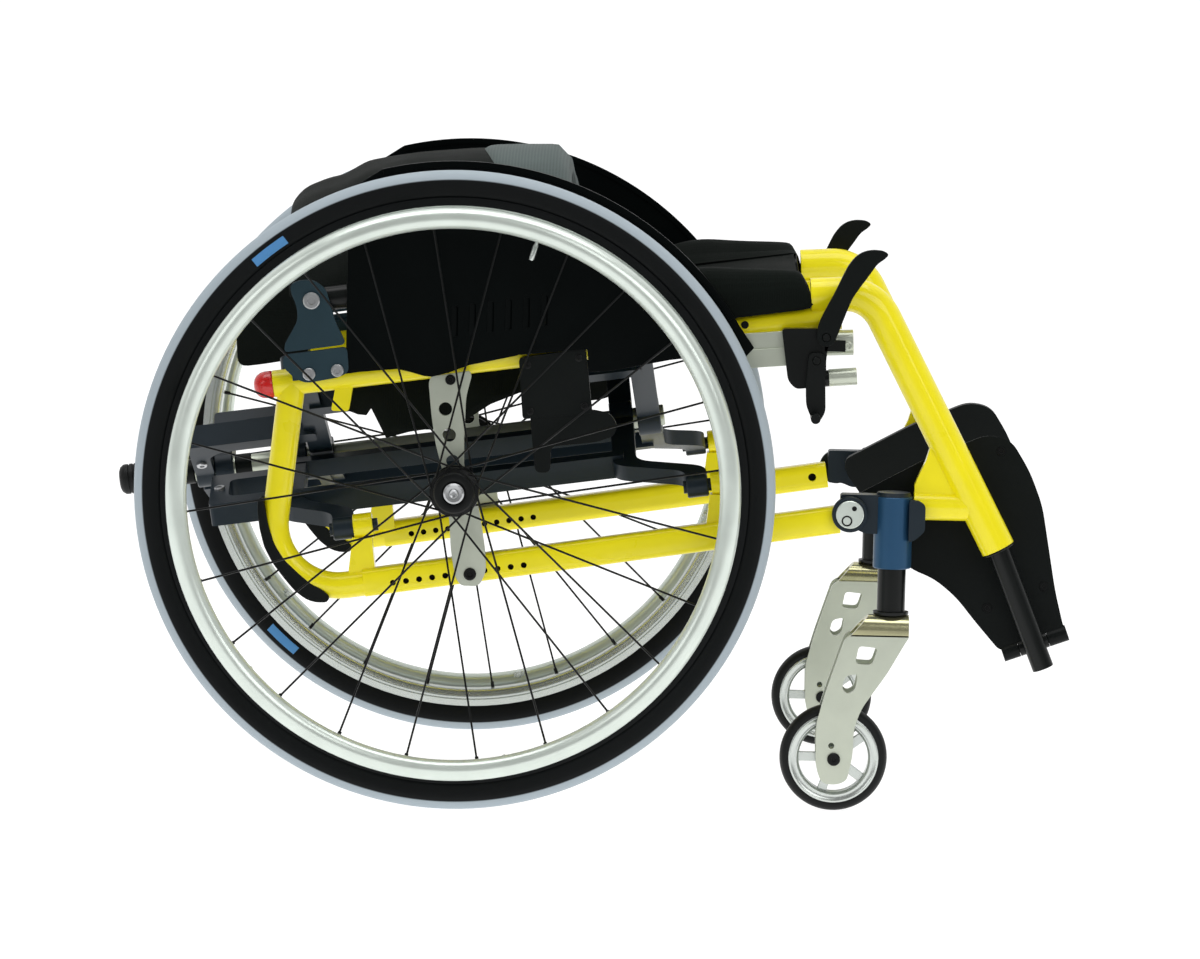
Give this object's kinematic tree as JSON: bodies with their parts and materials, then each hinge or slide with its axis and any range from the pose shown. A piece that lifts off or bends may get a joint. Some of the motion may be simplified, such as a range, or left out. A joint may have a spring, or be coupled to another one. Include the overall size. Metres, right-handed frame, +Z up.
{
  "type": "folding wheelchair",
  "caption": "Folding active wheelchair with cross brace, quick-release spoked wheels, swivelling castors, flip-up footplates, wheel brakes and a backrest that folds onto the seat.",
  "frame": {"origin": "on the floor, under the middle of the chair's length and width, with the backrest folded and the footplates up", "axes": "+X forward, +Y to the sitter's left, +Z up"},
  "size_m": [0.9054, 0.6508, 0.5969],
  "materials": {
    "yellow_paint": "gloss powder coat",
    "slate_casting": "satin coated casting",
    "blue_casting": "satin anodised casting",
    "silver_aluminium": "satin anodised",
    "champagne_aluminium": "satin anodised",
    "steel": "turned steel",
    "black_plastic": "fine grain moulding",
    "black_metal": "satin black coat",
    "tyre_rubber": "smooth sidewall",
    "soft_rubber": "matt solid rubber",
    "black_fabric": "woven nylon",
    "red_plastic": "translucent red moulding"
  },
  "bodies": {
    "right_frame": {"right_side_frame": "yellow_paint", "right_end_cap": "red_plastic", "right_frame_protector": "black_plastic", "right_axle_bracket": "champagne_aluminium", "right_axle": "steel", "right_side_guard": "black_plastic", "right_guard_clamp": "black_plastic", "right_back_bracket": "slate_casting", "right_castor_housing": "blue_casting", "right_foot_post": "black_metal", "right_brake_clamp": "black_metal", "seat_sling": "black_fabric"},
    "left_frame": {"left_side_frame": "yellow_paint", "left_end_cap": "red_plastic", "left_frame_protector": "black_plastic", "left_axle_bracket": "champagne_aluminium", "left_axle": "steel", "left_side_guard": "black_plastic", "left_guard_clamp": "black_plastic", "left_back_bracket": "slate_casting", "left_castor_housing": "blue_casting", "left_foot_post": "black_metal", "left_brake_clamp": "black_metal"},
    "cross_arm_a": {"cross_arm_a": "slate_casting", "centre_tube": "silver_aluminium", "tip_cap": "soft_rubber", "left_seat_tube": "black_metal"},
    "cross_arm_b": {"cross_arm_b": "slate_casting", "right_seat_tube": "black_metal"},
    "right_wheel": {"right_tyre": "tyre_rubber", "right_rim": "silver_aluminium", "right_spoked_hub": "black_metal", "right_handrim": "silver_aluminium"},
    "left_wheel": {"left_tyre": "tyre_rubber", "left_rim": "silver_aluminium", "left_spoked_hub": "black_metal", "left_handrim": "silver_aluminium"},
    "right_axle_button": {"right_axle_button": "steel"},
    "left_axle_button": {"left_axle_button": "steel"},
    "right_castor_swivel": {"right_castor_stem": "black_metal", "right_castor_fork": "champagne_aluminium"},
    "left_castor_swivel": {"left_castor_stem": "black_metal", "left_castor_fork": "champagne_aluminium"},
    "right_castor_wheel": {"right_castor_tyre": "soft_rubber", "right_castor_hub": "silver_aluminium"},
    "left_castor_wheel": {"left_castor_tyre": "soft_rubber", "left_castor_hub": "silver_aluminium"},
    "right_brake_lever": {"right_brake_lever": "black_plastic"},
    "left_brake_lever": {"left_brake_lever": "black_plastic"},
    "right_brake_shoe": {"right_brake_shoe": "black_metal"},
    "left_brake_shoe": {"left_brake_shoe": "black_metal"},
    "right_back_post": {"right_back_post": "black_metal", "back_sling": "black_fabric"},
    "left_back_post": {"left_back_post": "black_metal"},
    "right_footplate": {"right_footplate": "black_plastic"},
    "left_footplate": {"left_footplate": "black_plastic"}
  },
  "joints": [
    {"name": "frame_fold", "type": "hinge", "parent": "right_frame", "child": "cross_arm_a", "pos_m": [-0.12083, -0.215, 0.2669], "axis": [0.9898, 0, 0.1426], "range_deg": [0, 50], "deforming": ["seat_sling", "back_sling"]},
    {"name": "brace_scissor", "type": "hinge", "parent": "cross_arm_a", "child": "cross_arm_b", "pos_m": [-0.12816, 0, 0.31777], "axis": [0.9898, 0, 0.1426], "range_deg": [-100, 0]},
    {"name": "left_frame_pivot", "type": "hinge", "parent": "cross_arm_b", "child": "left_frame", "pos_m": [-0.12083, 0.215, 0.2669], "axis": [0.9898, 0, 0.1426], "range_deg": [0, 50]},
    {"name": "right_wheel_spin", "type": "hinge", "parent": "right_frame", "child": "right_wheel", "pos_m": [-0.12083, -0.275, 0.295], "axis": [0, 1, 0], "continuous": true},
    {"name": "left_wheel_spin", "type": "hinge", "parent": "left_frame", "child": "left_wheel", "pos_m": [-0.12083, 0.275, 0.295], "axis": [0, 1, 0], "continuous": true},
    {"name": "right_axle_release", "type": "slide", "parent": "right_frame", "child": "right_axle_button", "axis": [0, 1, 0], "range_m": [0, 0.002], "stiffness_N_per_m": 800},
    {"name": "left_axle_release", "type": "slide", "parent": "left_frame", "child": "left_axle_button", "axis": [0, -1, 0], "range_m": [0, 0.002], "stiffness_N_per_m": 800},
    {"name": "right_castor_turn", "type": "hinge", "parent": "right_frame", "child": "right_castor_swivel", "pos_m": [0.28467, -0.224, 0.2277], "axis": [0, 0, 1], "continuous": true},
    {"name": "left_castor_turn", "type": "hinge", "parent": "left_frame", "child": "left_castor_swivel", "pos_m": [0.28467, 0.224, 0.2277], "axis": [0, 0, 1], "continuous": true},
    {"name": "right_castor_spin", "type": "hinge", "parent": "right_castor_swivel", "child": "right_castor_wheel", "pos_m": [0.23467, -0.224, 0.05], "axis": [0, 1, 0], "continuous": true},
    {"name": "left_castor_spin", "type": "hinge", "parent": "left_castor_swivel", "child": "left_castor_wheel", "pos_m": [0.23467, 0.224, 0.05], "axis": [0, 1, 0], "continuous": true},
    {"name": "right_brake_pull", "type": "hinge", "parent": "right_frame", "child": "right_brake_lever", "pos_m": [0.21767, -0.2518, 0.4425], "axis": [0, 1, 0], "range_deg": [0, 60]},
    {"name": "left_brake_pull", "type": "hinge", "parent": "left_frame", "child": "left_brake_lever", "pos_m": [0.21767, 0.2518, 0.4425], "axis": [0, 1, 0], "range_deg": [0, 60]},
    {"name": "right_brake_swing", "type": "hinge", "parent": "right_frame", "child": "right_brake_shoe", "pos_m": [0.20917, -0.2518, 0.421], "axis": [0, 1, 0], "range_deg": [0, 60]},
    {"name": "left_brake_swing", "type": "hinge", "parent": "left_frame", "child": "left_brake_shoe", "pos_m": [0.20917, 0.2518, 0.421], "axis": [0, 1, 0], "range_deg": [0, 60]},
    {"name": "back_fold", "type": "hinge", "parent": "right_frame", "child": "right_back_post", "pos_m": [-0.25783, -0.2325, 0.4645], "axis": [0, -1, 0], "range_deg": [0, 90]},
    {"name": "left_back_fold", "type": "hinge", "parent": "left_frame", "child": "left_back_post", "pos_m": [-0.25783, 0.2325, 0.4645], "axis": [0, -1, 0], "range_deg": [0, 90]},
    {"name": "right_footplate_flip", "type": "hinge", "parent": "right_frame", "child": "right_footplate", "pos_m": [0.41917, -0.2, 0.157], "axis": [0.9397, 0, 0.342], "range_deg": [-85, 0]},
    {"name": "left_footplate_flip", "type": "hinge", "parent": "left_frame", "child": "left_footplate", "pos_m": [0.41917, 0.2, 0.157], "axis": [-0.9397, 0, -0.342], "range_deg": [-85, 0]}
  ],
  "couplings": [
    {"joint": "brace_scissor", "follows": "frame_fold", "ratio": -2},
    {"joint": "left_frame_pivot", "follows": "frame_fold", "ratio": 1},
    {"joint": "right_brake_swing", "follows": "right_brake_pull", "ratio": 1},
    {"joint": "left_brake_swing", "follows": "left_brake_pull", "ratio": 1},
    {"joint": "left_back_fold", "follows": "back_fold", "ratio": 1}
  ]
}
